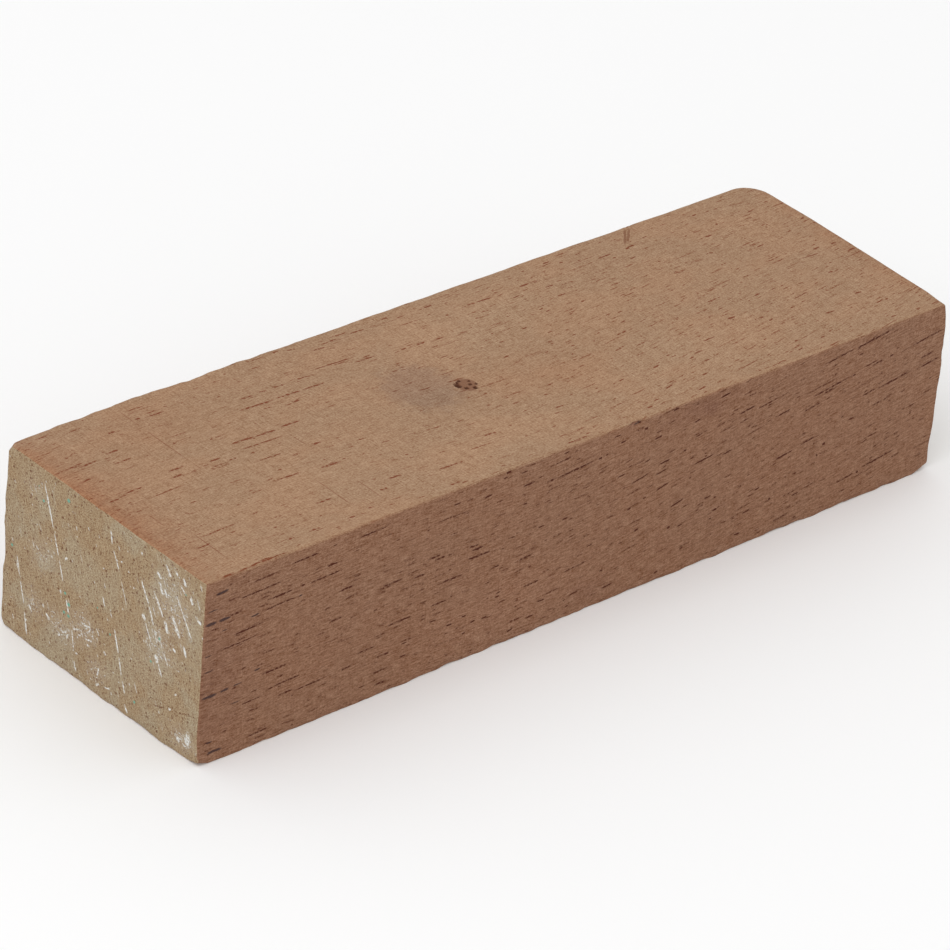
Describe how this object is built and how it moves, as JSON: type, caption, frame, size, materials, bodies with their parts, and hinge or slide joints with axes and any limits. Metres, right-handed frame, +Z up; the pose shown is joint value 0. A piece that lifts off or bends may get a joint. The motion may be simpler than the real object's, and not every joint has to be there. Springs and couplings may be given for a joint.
{
  "type": "hardwood block",
  "caption": "Plain hand-sized hardwood block, grain along its length, with flat wide faces, eased edges and a rounded corner: a strop base or carving blank.",
  "frame": {"origin": "middle of the footprint, on the bottom face that the block lies on", "axes": "+X along the grain to the end with the rounded corner, +Y to the back face, +Z up through the wide top face"},
  "size_m": [0.1454, 0.0454, 0.0309],
  "materials": {
    "hardwood": "bare sawn wood, matt, with open pores"
  },
  "bodies": {
    "root": {"hardwood_block": "hardwood"}
  },
  "joints": []
}
